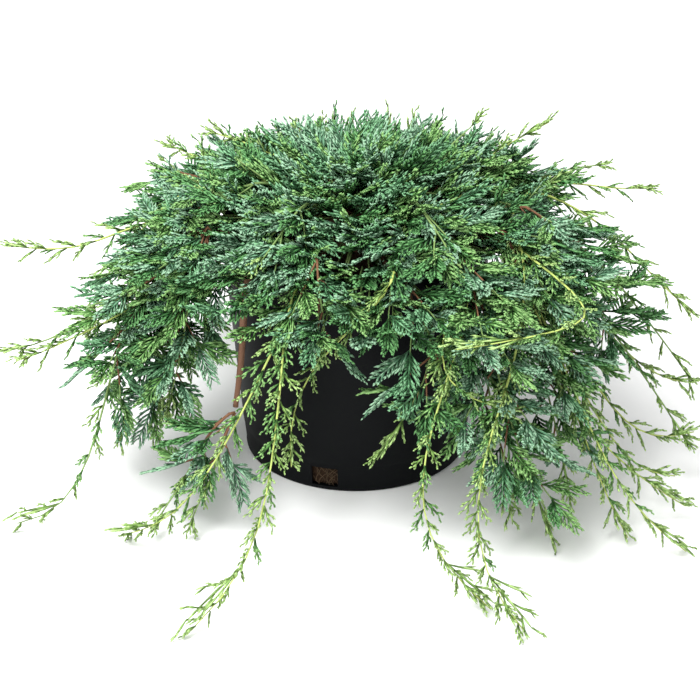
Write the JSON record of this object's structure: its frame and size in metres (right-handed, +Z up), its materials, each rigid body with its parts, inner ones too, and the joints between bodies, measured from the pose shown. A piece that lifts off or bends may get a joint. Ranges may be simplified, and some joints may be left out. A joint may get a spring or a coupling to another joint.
{
  "type": "potted bar harbor creeping juniper",
  "caption": "Creeping evergreen shrub with a dense low mound and long trailing shoots that arch over the rim of a tapered nursery pot.",
  "frame": {"origin": "middle of the pot's flat underside", "axes": "+Z up, -Y towards the side seen in the picture, +X to the right of that side"},
  "size_m": [0.6934, 0.7046, 0.3663],
  "materials": {
    "pot_plastic": "matte black, faintly ribbed by moulding",
    "soil": "damp crumbly potting mix",
    "bark": "thin flaking red-brown bark",
    "foliage": "blue-green scale leaves, paler at the tips"
  },
  "bodies": {
    "root": {"bough_drop_back_right": "bark", "bough_drop_left_front": "bark", "bough_lower_back": "bark", "bough_lower_back_left": "bark", "bough_lower_back_right": "bark", "bough_lower_front": "bark", "bough_lower_front_left": "bark", "bough_lower_front_right": "bark", "bough_lower_left": "bark", "bough_lower_left_back": "bark", "bough_lower_left_front": "bark", "bough_lower_left_low": "bark", "bough_lower_right": "bark", "bough_lower_right_back": "bark", "bough_lower_right_front": "bark", "bough_lower_right_high": "bark", "bough_upper_back_left": "bark", "bough_upper_back_right": "bark", "bough_upper_front_left": "bark", "bough_upper_front_right": "bark", "bough_upper_left": "bark", "bough_upper_right": "bark", "foliage_back": "foliage", "foliage_back_left": "foliage", "foliage_back_right": "foliage", "foliage_crown_back_left": "foliage", "foliage_crown_back_right": "foliage", "foliage_crown_front_left": "foliage", "foliage_crown_front_right": "foliage", "foliage_crown_left": "foliage", "foliage_crown_middle": "foliage", "foliage_crown_right": "foliage", "foliage_crown_right_shoot": "foliage", "foliage_crown_right_tip": "foliage", "foliage_front": "foliage", "foliage_front_left": "foliage", "foliage_front_left_trail": "foliage", "foliage_front_pot_shoot": "foliage", "foliage_front_right": "foliage", "foliage_front_right_curl": "foliage", "foliage_front_right_shoot": "foliage", "foliage_left": "foliage", "foliage_left_back": "foliage", "foliage_left_curl_shoot": "foliage", "foliage_left_front": "foliage", "foliage_left_low": "foliage", "foliage_left_upper_shoot": "foliage", "foliage_right": "foliage", "foliage_right_back": "foliage", "foliage_right_front": "foliage", "foliage_right_front_shoot": "foliage", "foliage_right_front_trail": "foliage", "foliage_right_high": "foliage", "foliage_right_high_shoot": "foliage", "foliage_right_trail": "foliage", "foliage_right_upper_shoot": "foliage", "pot": "pot_plastic", "soil": "soil", "trunk": "bark"}
  },
  "joints": []
}
